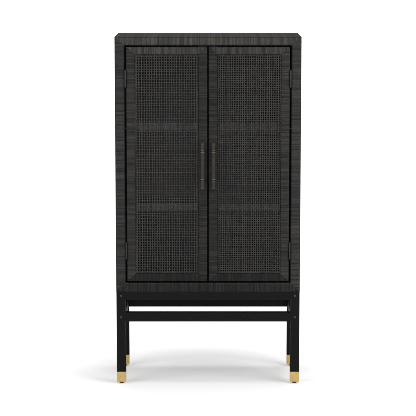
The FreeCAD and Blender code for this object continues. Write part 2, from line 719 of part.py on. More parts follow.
# ---------------------------------------------------------------- hinges
def hinge_leaf(tag, side, level, knuckles, towards_case):
    """Half a butt hinge: a leaf, its knuckles and their bore, countersunk for three screws."""
    s = SIDES[side] if towards_case else -SIDES[side]
    axis_x = f"{SIDES[side]} * {HINGE_X}"
    near = "(door_gap_side / 2 - leaf_thickness)"
    low_x = f"{axis_x} + {near}" if s > 0 else f"{axis_x} - door_gap_side / 2"
    start = "(barrel_radius + knuckle_gap)"
    bottom = f"({level} - hinge_length / 2)"
    pitch = "((hinge_length + knuckle_gap) / knuckle_count)"
    plate = box(f"{tag}_plate", "leaf_thickness", "leaf_reach", "hinge_length", low_x,
                f"{HINGE_Y} + {start}", bottom)
    pieces = [plate]
    for number in knuckles:
        z = f"{bottom} + {number} * {pitch}"
        tall = f"{pitch} - knuckle_gap"
        pieces.append(box(f"{tag}_tab_{number}", "leaf_thickness", f"{start} + knuckle_gap", tall, low_x,
                          HINGE_Y, z))
        pieces.append(rod(f"{tag}_knuckle_{number}", "barrel_radius", tall, axis_x, HINGE_Y, z))
    bore = rod(f"{tag}_bore", "hinge_pin_radius + pin_clearance", "hinge_length", axis_x, HINGE_Y, bottom)
    screws = []
    for step in (-1, 0, 1):
        x = f"{axis_x} + {s} * {near}"
        y = f"{HINGE_Y} + {start} + leaf_reach / 2"
        turn = TO_PLUS_X if s > 0 else TO_MINUS_X
        screws.append(wood_screw(f"{tag}_screw_{step + 1}", x, y, f"{level} + {step} * hinge_screw_pitch",
                                 turn))
    holes = doc.addObject("Part::Compound", f"{tag}_holes")
    holes.Links = [bore] + screws
    return less(tag, joined(f"{tag}_blank", pieces), holes), screws


def hinge_pin(tag, side, level):
    """A hinge pin with a flat cap at each end."""
    x = f"{SIDES[side]} * {HINGE_X}"
    bottom = f"({level} - hinge_length / 2)"
    shank = rod(f"{tag}_shank", "hinge_pin_radius", "hinge_length", x, HINGE_Y, bottom)
    low_cap = rod(f"{tag}_low_cap", "barrel_radius", "pin_cap", x, HINGE_Y, f"{bottom} - pin_cap")
    high_cap = rod(f"{tag}_high_cap", "barrel_radius", "pin_cap", x, HINGE_Y, f"{bottom} + hinge_length")
    return joined(tag, [shank, low_cap, high_cap])


def hinges():
    """Two butt hinges to a door; returns the screws that go into each door."""
    case_leaves = []
    case_screws = []
    pins = []
    door_screws = {}
    for side in SIDES:
        door_leaves = []
        door_screws[side] = []
        for number, level in enumerate(HINGE_HEIGHTS):
            tag = f"hinge_{side}_{number}"
            leaf, screws = hinge_leaf(f"{tag}_case", side, level, (0, 2, 4), True)
            case_leaves.append(leaf)
            case_screws += screws
            leaf, screws = hinge_leaf(f"{tag}_door", side, level, (1, 3), False)
            door_leaves.append(leaf)
            door_screws[side] += screws
            pins.append(hinge_pin(f"{tag}_pin", side, level))
        group(f"{side}_door_hinge_leaves", door_leaves)
    group("case_hinge_leaves", case_leaves)
    group("case_hinge_screws", case_screws)
    group("hinge_pins", pins)
    return door_screws


# ---------------------------------------------------------------- handles
def handle(side):
    """A straight rod on two posts, bound with cord, with brass rings at the posts and brass ends."""
    x = f"{SIDES[side]} * {HANDLE_X}"
    tag = f"{side}_handle"
    half = "(handle_length / 2)"
    post_levels = [f"({HANDLE_Z} {sign} handle_post_pitch / 2)" for sign in "-+"]
    bar = rod(f"{tag}_bar", "handle_rod_radius", "handle_length - 2 * cap_thickness", x, HANDLE_Y,
              f"{HANDLE_Z} - {half} + cap_thickness")
    posts = [rod(f"{tag}_post_{number}", "handle_post_radius", "handle_standoff", x, HANDLE_Y, level,
                 TO_PLUS_Y) for number, level in enumerate(post_levels)]
    keep(joined(f"{tag}_rod", [bar] + posts), f"{side}_handle_rod")

    def tube(name, radius, low, high):
        """A sleeve on the rod between two heights."""
        outer = rod(f"{name}_outer", radius, f"{high} - ({low})", x, HANDLE_Y, low)
        inner = rod(f"{name}_inner", "handle_rod_radius", f"{high} - ({low})", x, HANDLE_Y, low)
        return less(name, outer, inner)

    edge = "(ring_pitch / 2 + ring_width / 2)"
    stretches = [(f"{HANDLE_Z} - {half} + cap_thickness", f"{post_levels[0]} - {edge}"),
                 (f"{post_levels[0]} + {edge}", f"{post_levels[1]} - {edge}"),
                 (f"{post_levels[1]} + {edge}", f"{HANDLE_Z} + {half} - cap_thickness")]
    bindings = [tube(f"{tag}_binding_{number}", "handle_cord_radius", low, high)
                for number, (low, high) in enumerate(stretches)]
    group(f"{side}_handle_cord_binding", bindings)
    rings = []
    for number, level in enumerate(post_levels):
        for sign in "-+":
            centre = f"{level} {sign} ring_pitch / 2"
            name = f"{tag}_ring_{number}_{'low' if sign == '-' else 'high'}"
            rings.append(tube(name, "ring_radius", f"{centre} - ring_width / 2",
                              f"{centre} + ring_width / 2"))
    caps = [rod(f"{tag}_cap_{number}", "handle_cord_radius", "cap_thickness", x, HANDLE_Y, low)
            for number, low in enumerate((f"{HANDLE_Z} - {half}", f"{HANDLE_Z} + {half} - cap_thickness"))]
    group(f"{side}_handle_brass", rings + caps)


def door_fastenings(side, hinge_screws):
    """The screws in a door: through its hinge leaves, and through the stile into the handle's posts."""
    through = []
    for number, sign in enumerate("-+"):
        level = f"{HANDLE_Z} {sign} handle_post_pitch / 2"
        spot = (f"{SIDES[side]} * {HANDLE_X}", f"{FRONT} + door_thickness + bolt_head_height / 2", level,
                TO_MINUS_Y)
        length = "door_thickness + bolt_head_height / 2 + handle_screw_bite"
        sizes = ("screw_radius", length, "screw_head_radius", "bolt_head_height / 2")
        through.append(headed_bolt(f"{side}_handle_screw_{number}", *sizes, spot))
    group(f"{side}_door_screws", hinge_screws + through)


# ---------------------------------------------------------------- assembly
for side_name in SIDES:
    for end_name in ENDS:
        leg(side_name, end_name)
        glide(side_name, end_name)
    for rail_kind in RAIL_LEVELS:
        side_rail_of_stand(rail_kind, side_name)
for end_name in ENDS:
    for rail_kind in RAIL_LEVELS:
        cross_rail_of_stand(rail_kind, end_name)
corners_of_stand = [(side_name, end_name) for side_name in SIDES for end_name in ENDS]
group("brass_ferrules", [ferrule(*corner) for corner in corners_of_stand])
group("glide_inserts", [glide_insert(*corner) for corner in corners_of_stand])
stand_fastenings()
case_boards()
back_panel()
shelf("lower", "shelf_low")
shelf("upper", "shelf_high")
shelf_pins()
catches()
screws_of_doors = hinges()
for side_name in SIDES:
    door_frame(side_name)
    woven_panel(side_name)
    handle(side_name)
    strike_plate(side_name)
    door_fastenings(side_name, screws_of_doors[side_name])

doc.recompute()
for item in doc.Objects:
    if "Invalid" in item.State or "Error" in item.State:
        raise RuntimeError(f"{item.Name} failed: {item.State}")
for piece in sub_parts:
    if piece.Shape.isNull() or not piece.Shape.isValid():
        raise RuntimeError(f"{piece.Label} has no valid shape")
os.makedirs("parts", exist_ok=True)
for piece in sub_parts:
    piece.Shape.exportStep(f"parts/{piece.Label}.step")
print(len(sub_parts), "sub-parts written")
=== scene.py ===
"""Tall cabinet bound in black cord, with woven door panels, on an open black stand."""
import math

import bmesh
import bpy
import numpy as np
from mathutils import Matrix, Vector


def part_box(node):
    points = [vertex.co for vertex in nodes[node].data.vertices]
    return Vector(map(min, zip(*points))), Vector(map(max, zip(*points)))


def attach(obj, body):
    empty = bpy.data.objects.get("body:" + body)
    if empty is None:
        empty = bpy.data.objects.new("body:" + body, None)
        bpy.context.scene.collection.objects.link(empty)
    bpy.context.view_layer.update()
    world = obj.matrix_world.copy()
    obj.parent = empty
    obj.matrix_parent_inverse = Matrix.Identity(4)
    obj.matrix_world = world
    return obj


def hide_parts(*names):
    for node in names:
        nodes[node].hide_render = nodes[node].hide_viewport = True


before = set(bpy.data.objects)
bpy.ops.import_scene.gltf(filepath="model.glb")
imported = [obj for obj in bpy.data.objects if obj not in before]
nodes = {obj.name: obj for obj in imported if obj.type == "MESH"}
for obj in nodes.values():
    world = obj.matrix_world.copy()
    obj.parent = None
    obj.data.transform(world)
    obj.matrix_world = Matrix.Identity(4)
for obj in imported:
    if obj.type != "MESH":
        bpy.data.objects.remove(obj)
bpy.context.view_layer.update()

# ---------------------------------------------------------------------------------------------
# Stand. Four square legs, aprons under the case and stretchers below them, all of planed hardwood
# stained black and rubbed down with satin lacquer; the pores and a little brown show in the figure.
# ---------------------------------------------------------------------------------------------
STAIN = (0.0056, 0.0055, 0.0053, 1)
STAIN_WORN = (0.0125, 0.0100, 0.0082, 1)
PORE = (0.0034, 0.0032, 0.0030, 1)
GRAIN_ALONG = 1.6
GRAIN_ACROSS = 70
PORES_FINER_ALONG = 12
PORES_FINER_ACROSS = 9
PORE_COVER = (-2.2, 2.6)
STAIN_ROUGHNESS = (0.48, 0.66)
STAIN_SHINE = 0.15


def new_material(name):
    """An empty node material: its nodes, its links and its main shader."""
    material = bpy.data.materials.new(name)
    material.use_nodes = True
    tree = material.node_tree
    return material, tree, tree.nodes["Principled BSDF"]


def add(tree, kind, **sockets):
    """One more node, with its sockets set or joined to other nodes' outputs."""
    node = tree.nodes.new(kind)
    for name, value in sockets.items():
        socket = node.inputs[name.replace("_", " ")]
        if isinstance(value, bpy.types.NodeSocket):
            tree.links.new(value, socket)
        else:
            socket.default_value = value
    return node


def maths(tree, kind, first, second=0.0):
    """A sum, product or other operation on numbers or outputs."""
    node = tree.nodes.new("ShaderNodeMath")
    node.operation = kind
    for socket, value in zip(node.inputs, (first, second)):
        if isinstance(value, bpy.types.NodeSocket):
            tree.links.new(value, socket)
        else:
            socket.default_value = value
    return node.outputs[0]


def ramp(tree, source, stops):
    """Colours along a value, from pairs of place and colour."""
    node = add(tree, "ShaderNodeValToRGB", Fac=source)
    band = node.color_ramp
    while len(band.elements) < len(stops):
        band.elements.new(0.5)
    for element, (place, colour) in zip(band.elements, stops):
        element.position = place
        element.color = colour
    return node.outputs["Color"]


def between(tree, source, low, high):
    """A value spread from 0..1 onto another span."""
    node = add(tree, "ShaderNodeMapRange", Value=source)
    node.inputs["To Min"].default_value = low
    node.inputs["To Max"].default_value = high
    return node.outputs["Result"]


def stretched_place(tree, scale):
    """The place on the object, squeezed by a scale for each axis."""
    place = tree.nodes.new("ShaderNodeTexCoord").outputs["Object"]
    return add(tree, "ShaderNodeMapping", Vector=place, Scale=scale).outputs["Vector"]


def noise(tree, stretch, scale=1.0, **sockets):
    """An uneven pattern over the object, stretched by a scale for each axis."""
    place = stretched_place(tree, stretch)
    return add(tree, "ShaderNodeTexNoise", Vector=place, Scale=scale, **sockets).outputs["Fac"]


def feel(tree, shader, gloss, roughness, height, strength, depth):
    """Roughness that follows one pattern, and fine relief that follows another."""
    tree.links.new(between(tree, gloss, *roughness), shader.inputs["Roughness"])
    bump = add(tree, "ShaderNodeBump", Height=height, Strength=strength, Distance=depth)
    tree.links.new(bump.outputs["Normal"], shader.inputs["Normal"])


def stained_wood(name, axis):
    """Black-stained hardwood whose grain runs along one axis."""
    material, tree, shader = new_material(name)
    grain = [GRAIN_ALONG if letter == axis else GRAIN_ACROSS for letter in "XYZ"]
    finer = [PORES_FINER_ALONG if letter == axis else PORES_FINER_ACROSS for letter in "XYZ"]
    figure = noise(tree, grain, Detail=6.0, Roughness=0.6, Distortion=0.8)
    pores = noise(tree, [scale * times for scale, times in zip(grain, finer)], Detail=2.0)
    colour = ramp(tree, figure, [(0.30, STAIN), (0.62, STAIN), (0.80, STAIN_WORN)])
    pore_mask = between(tree, pores, *PORE_COVER)
    mixed = add(tree, "ShaderNodeMix", Factor=pore_mask)
    mixed.data_type = "RGBA"
    mixed.inputs[6].default_value = PORE
    tree.links.new(colour, mixed.inputs[7])
    tree.links.new(mixed.outputs[2], shader.inputs["Base Color"])
    relief = maths(tree, "ADD", figure, pores)
    feel(tree, shader, figure, STAIN_ROUGHNESS, relief, strength=0.25, depth=0.0006)
    shader.inputs["Specular IOR Level"].default_value = STAIN_SHINE
    return material


def finish_node(name, material):
    """Give a CAD piece its finish."""
    slots = nodes[name].data.materials
    slots.clear()
    slots.append(material)


upright_wood = stained_wood("stained_wood_upright", "Z")
long_wood = stained_wood("stained_wood_lengthwise", "X")
deep_wood = stained_wood("stained_wood_crosswise", "Y")
for end in ("front", "rear"):
    for side in ("left", "right"):
        finish_node(f"leg_{end}_{side}", upright_wood)
for kind in ("apron", "stretcher"):
    for end in ("front", "rear"):
        finish_node(f"{kind}_{end}", long_wood)
    for side in ("left", "right"):
        finish_node(f"{kind}_{side}", deep_wood)


# ---------------------------------------------------------------------------------------------
# Stand fastenings. Black steel bolts in sunk holes on the legs, barrel nuts in the side rails and
# long zinc-plated screws up through the aprons.
# ---------------------------------------------------------------------------------------------
GUNMETAL = (0.10, 0.10, 0.10, 1)
ZINC = (0.42, 0.42, 0.43, 1)
SPOT_SHADE = 0.72


def tinted(colour, share):
    """A colour made lighter or darker by a share."""
    return tuple(part * share for part in colour[:3]) + (1,)


def hard_metal(name, colour, roughness, speckle, metallic=1.0):
    """Plain plated or painted metal with a slight unevenness in its gloss."""
    material, tree, shader = new_material(name)
    spots = noise(tree, (1, 1, 1), speckle, Detail=3.0)
    tint = ramp(tree, spots, [(0.35, tinted(colour, SPOT_SHADE)), (0.6, colour)])
    tree.links.new(tint, shader.inputs["Base Color"])
    shader.inputs["Metallic"].default_value = metallic
    feel(tree, shader, spots, roughness, spots, strength=0.1, depth=0.0002)
    return material


gunmetal = hard_metal("blackened_steel", GUNMETAL, (0.30, 0.50), speckle=900)
zinc = hard_metal("zinc_plated_steel", ZINC, (0.25, 0.45), speckle=700)
finish_node("frame_bolts", gunmetal)
for name in ("barrel_nuts", "case_screws", "glide_inserts", "back_screws", "shelf_pins"):
    finish_node(name, zinc)

# ---------------------------------------------------------------------------------------------
# Feet. Pressed brass ferrules, brushed round the leg and lacquered, over black moulded levelling
# glides that screw up into the legs.
# ---------------------------------------------------------------------------------------------
BRASS = (0.72, 0.535, 0.212, 1)
BRASS_DEEP = (0.635, 0.465, 0.172, 1)
BRUSHED_LEVEL = (40, 40, 5200)
BRASS_CLOUD = 45.0
BRASS_ROUGHNESS = (0.36, 0.52)
GLIDE_BLACK = (0.022, 0.022, 0.022, 1)


def brushed_brass(name, colour, deep):
    """Lacquered brass with fine level brushing and a little unevenness."""
    material, tree, shader = new_material(name)
    lines = noise(tree, BRUSHED_LEVEL, Detail=3.0)
    cloud = noise(tree, (1, 1, 1), BRASS_CLOUD, Detail=2.0)
    tree.links.new(ramp(tree, cloud, [(0.3, deep), (0.65, colour)]), shader.inputs["Base Color"])
    shader.inputs["Metallic"].default_value = 1.0
    feel(tree, shader, lines, BRASS_ROUGHNESS, lines, strength=0.12, depth=0.0002)
    return material


brass = brushed_brass("brushed_brass", BRASS, BRASS_DEEP)
finish_node("brass_ferrules", brass)
glide_black = hard_metal("moulded_black", GLIDE_BLACK, (0.45, 0.65), speckle=1200, metallic=0.0)
for end in ("front", "rear"):
    for side in ("left", "right"):
        finish_node(f"glide_{end}_{side}", glide_black)

# ---------------------------------------------------------------------------------------------
# Case boards, back and shelves. Veneered board painted black with a roller: flat, faintly stippled,
# the grain of the veneer just showing through.
# ---------------------------------------------------------------------------------------------
PAINT = (0.007, 0.0069, 0.0067, 1)
PAINT_LIGHT = (0.011, 0.0107, 0.0103, 1)
PAINT_ROUGHNESS = (0.5, 0.68)
ROLLER_STIPPLE = 900.0


def painted_board(name, scale):
    """Rolled black paint over veneer whose grain follows the smallest of the three scales."""
    material, tree, shader = new_material(name)
    grain = noise(tree, scale, Detail=4.0, Distortion=0.4)
    stipple = noise(tree, (1, 1, 1), ROLLER_STIPPLE, Detail=1.0)
    tint = ramp(tree, grain, [(0.35, PAINT), (0.7, PAINT_LIGHT)])
    tree.links.new(tint, shader.inputs["Base Color"])
    relief = maths(tree, "ADD", grain, stipple)
    feel(tree, shader, grain, PAINT_ROUGHNESS, relief, strength=0.2, depth=0.0004)
    return material


upright_board = painted_board("painted_board_upright", (60, 60, 2))
level_board = painted_board("painted_board_level", (2, 60, 60))
for name in ("case_side_left_board", "case_side_right_board", "case_back_panel"):
    finish_node(name, upright_board)
for name in ("case_top_board", "case_bottom_board", "shelf_lower", "shelf_upper"):
    finish_node(name, level_board)
finish_node("magnetic_catches", glide_black)

# ---------------------------------------------------------------------------------------------
# Cord binding of the case. Black-dyed twisted plant cord, a little over three millimetres thick,
# wound side by side round the outside, the front and the first of the inside of each board, and
# cut to the mitre where two boards meet. Painted shade darkens it round the front edges of the
# sides and top and over the top's upper face, a painted highlight lightens it round the front edges
# of the bottom, and each board's cord is set lighter or darker as painted light, the top lightest.
# ---------------------------------------------------------------------------------------------
CORD_PITCH = 0.0034
CORD_DEPTH = 0.0013
CORD_LAYER = 0.003
CASE_ROUND = 0.006
CASE_RETURN = 0.040
CORD_DARK = (0.0065, 0.0063, 0.0060, 1)
CORD_MID = (0.0205, 0.0198, 0.0189, 1)
CORD_LIGHT = (0.047, 0.0448, 0.042, 1)
CORD_STRAW = (0.10, 0.084, 0.062, 1)
CORD_COLOURS = ((0.18, CORD_DARK), (0.46, CORD_MID), (0.74, CORD_LIGHT), (0.97, CORD_STRAW))
CORD_ROUGHNESS = (0.5, 0.72)
CORD_SHINE = 0.22
TWIST_SHIFT = 7.3
FIBRES_ALONG = 260.0
FIBRES_AROUND = 6.0
FIBRE_SHIFT = 40.0
DYE_PATCHES = 38.0
TONE_SHARE = 0.42
FIBRE_SHARE = 0.30
PATCH_SHARE = 0.22
PLY_SHARE = 0.07
# How strongly the mesh's painted shading darkens the cord as painted shade, or lightens it as a painted
# highlight where it is negative.
PAINTED_SHADING_SHARE = 0.32


def named_value(tree, name):
    """A value that the mesh carries at its corners."""
    node = tree.nodes.new("ShaderNodeAttribute")
    node.attribute_name = name
    return node.outputs["Fac"]


def twisted_cord(name, lay, plies, brightness=1.0):
    """Dyed twisted cord: plies that slant round each strand, fibre streaks and uneven dye, with painted
    light and shade taken from the mesh's values.
    """
    material, tree, shader = new_material(name)
    along, around, tone, painted_shading = (named_value(tree, value) for value in ("along", "strand", "tone", "painted_shading"))
    turns = maths(tree, "DIVIDE", along, lay)
    slant = maths(tree, "ADD", turns, maths(tree, "MULTIPLY", around, float(plies)))
    offset = maths(tree, "ADD", slant, maths(tree, "MULTIPLY", tone, TWIST_SHIFT))
    ply = maths(tree, "SINE", maths(tree, "MULTIPLY", offset, 2 * math.pi))
    fibre_place = add(tree, "ShaderNodeCombineXYZ", X=maths(tree, "MULTIPLY", along, FIBRES_ALONG),
                      Y=maths(tree, "MULTIPLY", around, FIBRES_AROUND),
                      Z=maths(tree, "MULTIPLY", tone, FIBRE_SHIFT)).outputs["Vector"]
    fibre = add(tree, "ShaderNodeTexNoise", Vector=fibre_place, Scale=1.0, Detail=3.0).outputs["Fac"]
    patch = noise(tree, (1, 1, 1), DYE_PATCHES, Detail=2.0)
    shade = maths(tree, "MULTIPLY", tone, TONE_SHARE)
    # The last term is painted shade on edges and faces set in shadow, and a painted highlight where it is
    # negative.
    for value, share in ((fibre, FIBRE_SHARE), (patch, PATCH_SHARE), (ply, PLY_SHARE), (painted_shading, -PAINTED_SHADING_SHARE)):
        shade = maths(tree, "ADD", shade, maths(tree, "MULTIPLY", value, share))
    stops = [(place, tinted(colour, brightness)) for place, colour in CORD_COLOURS]
    tree.links.new(ramp(tree, shade, stops), shader.inputs["Base Color"])
    shader.inputs["Specular IOR Level"].default_value = CORD_SHINE
    relief = maths(tree, "ADD", maths(tree, "MULTIPLY", ply, 0.5), fibre)
    feel(tree, shader, fibre, CORD_ROUGHNESS, relief, strength=0.4, depth=0.0005)
    return material


CORNER_SHARES = (0.25, 0.5, 0.75)
SAME_PLACE = 1e-7


def rounded_path(corners, rounds, spacing, closed=False):
    """Points and outward directions along a path of straight runs with rounded corners.

    The outside is on the left of the way that the path goes, seen with the second axis downwards.
    """
    corners = [np.array(corner, float) for corner in corners]
    count = len(corners)
    points, outward = [], []
    for index in range(count if closed else count - 1):
        start, stop = corners[index], corners[(index + 1) % count]
        way = (stop - start) / np.linalg.norm(stop - start)
        start = start + way * rounds[index]
        stop = stop - way * rounds[(index + 1) % count]
        normal = np.array([-way[1], way[0]])
        steps = max(1, round(np.linalg.norm(stop - start) / spacing[index]))
        for step in range(steps + 1):
            points.append(start + (stop - start) * step / steps)
            outward.append(normal)
        turn = (index + 1) % count
        if rounds[turn] and (closed or turn):
            following = corners[(turn + 1) % count] - corners[turn]
            following = following / np.linalg.norm(following)
            centre = stop - normal * rounds[turn]
            next_normal = np.array([-following[1], following[0]])
            for share in CORNER_SHARES:
                angle = share * math.pi / 2
                direction = normal * math.cos(angle) + next_normal * math.sin(angle)
                points.append(centre + direction * rounds[turn])
                outward.append(direction)
    points, outward = np.array(points), np.array(outward)
    keep = np.ones(len(points), bool)
    keep[1:] = np.linalg.norm(np.diff(points, axis=0), axis=1) > SAME_PLACE
    return points[keep], outward[keep]


def per_corner(values, at):
    """Values at every corner of the faces, from one for each corner or one for each point."""
    values = np.asarray(values, np.float32)
    return values if len(values) == len(at) else values[at]


def fill_mesh(name, points, faces, named_values, bake_place, smooth_faces):
    """A mesh from its points and faces, with the named values that its material reads.

    Its first smooth_faces faces are shaded smooth and the rest, the cut ends, flat.
    """
    mesh = bpy.data.meshes.new(name)
    mesh.from_pydata(points, [], faces)
    at = np.zeros(len(mesh.loops), int)
    mesh.loops.foreach_get("vertex_index", at)
    for value_name, values in named_values.items():
        layer = mesh.attributes.new(value_name, "FLOAT", "CORNER")
        layer.data.foreach_set("value", per_corner(values, at))
    layer = mesh.uv_layers.new(name="OFBake")
    layer.data.foreach_set("uv", per_corner(bake_place, at).ravel())
    smooth = np.zeros(len(mesh.polygons), bool)
    smooth[:smooth_faces] = True
    mesh.polygons.foreach_set("use_smooth", smooth)
    mesh.update()
    piece = bpy.data.objects.new(name, mesh)
    bpy.context.scene.collection.objects.link(piece)
    return piece


RIB_STEPS = (0.0, 0.14, 0.38, 0.62, 0.86)
WIDTH_SPREAD = 0.10
WIDTH_LIMIT = 0.25
LIFT_SPREAD = 0.10
LIFT_LIMITS = (-0.22, 0.10)
TONE_SPREAD = 0.34
TONE_LIMITS = (-1.8, 1.2)
DRIFT_SPREAD = 0.05
DRIFT_OVER = 9
SWAYS = ((0.0008, 71, 38), (0.0005, 163, 62))
SETTLED_WITHIN = 0.02
MITRE_TRIES = 3


def cord_rows(random, length, shade):
    """The rows of points along a member, some to each cord: place, height, cord number and tone."""
    count = round(length / CORD_PITCH)
    widths = 1 + random.normal(0, WIDTH_SPREAD, count).clip(-WIDTH_LIMIT, WIDTH_LIMIT)
    edges = np.concatenate([[0], np.cumsum(widths)]) * length / widths.sum()
    steps = np.array(RIB_STEPS)
    place = (edges[:-1, None] + steps * np.diff(edges)[:, None]).ravel()
    swell = np.sqrt(1 - (2 * steps - 1) ** 2) - 1
    lift = random.normal(0, LIFT_SPREAD, count).clip(*LIFT_LIMITS)
    height = ((swell[None, :] + lift[:, None] * (steps > 0)) * CORD_DEPTH).ravel().clip(max=0)
    number = (np.arange(count)[:, None] + steps).ravel()
    drift = random.normal(0, 1, count + DRIFT_OVER - 1)
    drift = np.convolve(drift, np.ones(DRIFT_OVER) / DRIFT_OVER, "valid")
    tone = shade + TONE_SPREAD * random.normal(0, 1, count).clip(*TONE_LIMITS) + DRIFT_SPREAD * drift
    return (np.append(place, length), np.append(height, -CORD_DEPTH), np.append(number, count),
            np.append(np.repeat(tone, len(steps)), tone[-1]))


def wound_member(name, path, outward, ribbed, painted_shading, length, slopes, to_place, shade, seed):
    """A binding of cords wound side by side along a member and cut to a mitre at each end.

    path goes round the member's section; each cord follows it, raised where ribbed is one, darkened
    where the argument after ribbed is above zero, as painted shade, and lightened where it is below
    zero, as a painted highlight. shade is the member's lightness, which carries painted light. slopes
    say how fast the mitre at each end climbs across the section, and to_place turns (across, deep,
    along) into x, y, z.
    """
    random = np.random.default_rng(seed)
    row_place, row_height, row_strand, row_tone = cord_rows(random, length, shade)
    travelled = np.concatenate([[0], np.cumsum(np.linalg.norm(np.diff(path, axis=0), axis=1))])
    phase = random.uniform(0, 2 * math.pi, (len(SWAYS), 2))
    along, across = np.meshgrid(row_place, travelled, indexing="ij")
    sway = sum(size * np.sin(along * fast + lead) * np.sin(across * slow + lag)
               for (size, fast, slow), (lead, lag) in zip(SWAYS, phase))
    settled = (np.minimum(along, length - along) / SETTLED_WITHIN).clip(0, 1)
    wanted = along + sway * settled * ribbed[None, :]
    place = wanted
    for _ in range(MITRE_TRIES):
        height = np.interp(place, row_place, row_height) * ribbed[None, :]
        flat = path[None, :, :] + outward[None, :, :] * height[:, :, None]
        low = np.maximum(slopes[0] * flat[:, :, 0], 0)
        high = length - np.maximum(slopes[1] * flat[:, :, 0], 0)
        place = np.clip(wanted, low, high)
    rows, columns = place.shape
    first = np.array([np.max(np.nonzero(before)[0], initial=0) for before in (wanted <= low).T])
    last = np.array([np.min(np.nonzero(after)[0], initial=rows - 1) for after in (wanted >= high).T])
    column = np.arange(columns)
    index = np.clip(np.arange(rows)[:, None], first, last) * columns + column
    beside = np.roll(index, -1, axis=1)
    quads = np.stack([index[:-1], index[1:], beside[1:], beside[:-1]], -1).reshape(-1, 4)
    near_gone = quads[:, 0] == quads[:, 1]
    far_gone = quads[:, 2] == quads[:, 3]
    faces = quads[~near_gone & ~far_gone].tolist()
    faces += quads[near_gone & ~far_gone][:, [0, 2, 3]].tolist()
    faces += quads[~near_gone & far_gone][:, [0, 1, 2]].tolist()
    smooth_faces = len(faces)
    faces.append((first * columns + column).tolist())
    faces.append((last * columns + column)[::-1].tolist())
    used = np.unique(np.concatenate(faces))
    renumber = np.full(rows * columns, -1)
    renumber[used] = np.arange(len(used))
    faces = [renumber[face].tolist() for face in faces]
    flat = flat.reshape(-1, 2)[used]
    place = place.reshape(-1)[used]
    points = to_place(flat[:, 0], flat[:, 1], place)
    at_column = used % columns
    values = {"along": travelled[at_column], "strand": np.interp(place, row_place, row_strand),
              "tone": np.interp(place, row_place, row_tone), "painted_shading": painted_shading[at_column]}
    bake_place = np.stack([travelled[at_column] / travelled[-1], place / length], 1)
    return fill_mesh(name, points, faces, values, bake_place, smooth_faces)


def ring_places(low, high):
    """How (across, deep, along) lies in each member of a ring that fills a box, clockwise."""
    return {
        "left": lambda u, v, t: np.stack([low[0] + u, low[1] + v, low[2] + t], 1),
        "top": lambda u, v, t: np.stack([low[0] + t, low[1] + v, high[2] - u], 1),
        "right": lambda u, v, t: np.stack([high[0] - u, low[1] + v, high[2] - t], 1),
        "bottom": lambda u, v, t: np.stack([high[0] - t, low[1] + v, low[2] + u], 1),
    }


RING = ("left", "top", "right", "bottom")
CASE_SPACING = (0.012, 0.0032, 0.028)
CASE_SEED = 11
# Each case member's cord lightness is painted light: the top set lightest, the bottom darkest, the right
# side a little lighter than the left. The edge values are painted shade round the front edges of the sides
# and top, and a painted highlight (negative) on the bottom's; the top's upper face gets painted shade.
CASE_PAINTED_LIGHT_LEVELS = {"left": 0.62, "top": 1.05, "right": 0.73, "bottom": 0.10}
ARRIS_PAINTED_SHADING = {"left": 1.0, "top": 1.4, "right": 1.0, "bottom": -0.6}
TOP_PAINTED_SHADE = 0.75
FACES_OUT = 0.99
CORD_LAY = 0.0085
case_cord = twisted_cord("bound_cord", CORD_LAY, 1)
case_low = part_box("case_side_left_cord_wrap")[0]
case_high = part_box("case_side_right_cord_wrap")[1]
side_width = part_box("case_side_left_cord_wrap")[1].x - case_low.x
case_widths = {"left": side_width, "right": side_width,
               "top": case_high.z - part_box("case_top_cord_wrap")[0].z,
               "bottom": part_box("case_bottom_cord_wrap")[1].z - case_low.z}
case_nodes = {"left": "case_side_left_cord_wrap", "right": "case_side_right_cord_wrap",
              "top": "case_top_cord_wrap", "bottom": "case_bottom_cord_wrap"}
case_size = case_high - case_low
places = ring_places(case_low, case_high)


def mitre_slopes(widths, number):
    """How fast the mitres at the two ends of a ring's member climb across it."""
    width = widths[RING[number]]
    return [widths[RING[number - 1]] / width, widths[RING[(number + 1) % len(RING)]] / width]


for number, member in enumerate(RING):
    width = case_widths[member]
    deep = case_size.y
    corners = [(width, CASE_RETURN), (width, 0), (0, 0), (0, deep)]
    path, outward = rounded_path(corners, [0, CASE_ROUND, CASE_ROUND, 0], CASE_SPACING)
    # Painted shade on the rounded front edges and on the top's upper face; on the bottom's edges, a painted
    # highlight.
    painted_shading = (np.abs(outward).max(axis=1) < FACES_OUT) * ARRIS_PAINTED_SHADING[member]
    if member == "top":
        painted_shading[outward[:, 0] < -FACES_OUT] = TOP_PAINTED_SHADE
    lining = np.array([(CORD_LAYER, deep), (CORD_LAYER, CORD_LAYER), (width - CORD_LAYER, CORD_LAYER),
                       (width - CORD_LAYER, CASE_RETURN)])
    plain = np.zeros(len(lining))
    ribbed = np.concatenate([np.ones(len(path)), plain])
    painted_shading = np.concatenate([painted_shading, plain])
    path = np.concatenate([path, lining])
    outward = np.concatenate([outward, np.zeros_like(lining)])
    length = case_size.z if member in ("left", "right") else case_size.x
    piece = wound_member(f"case_{member}_cord", path, outward, ribbed, painted_shading, length,
                         mitre_slopes(case_widths, number), places[member], CASE_PAINTED_LIGHT_LEVELS[member],
                         seed=CASE_SEED + number)
    piece.data.materials.append(case_cord)
    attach(piece, "cabinet")
    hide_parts(case_nodes[member])

# ---------------------------------------------------------------------------------------------
# Doors. Mitred frames of black-painted wood, each member bound on all four sides with the same
# cord, and two cross rails behind the woven panel, bound before they are let in.
# ---------------------------------------------------------------------------------------------
DOOR_ROUND = 0.0045
DOOR_SPACING = (0.0055, 0.0032, 0.0055, 0.006)
DOOR_SEEDS = {"left": 31, "right": 41}
CROSS_RAIL_SEEDS = {"left": 36, "right": 46}
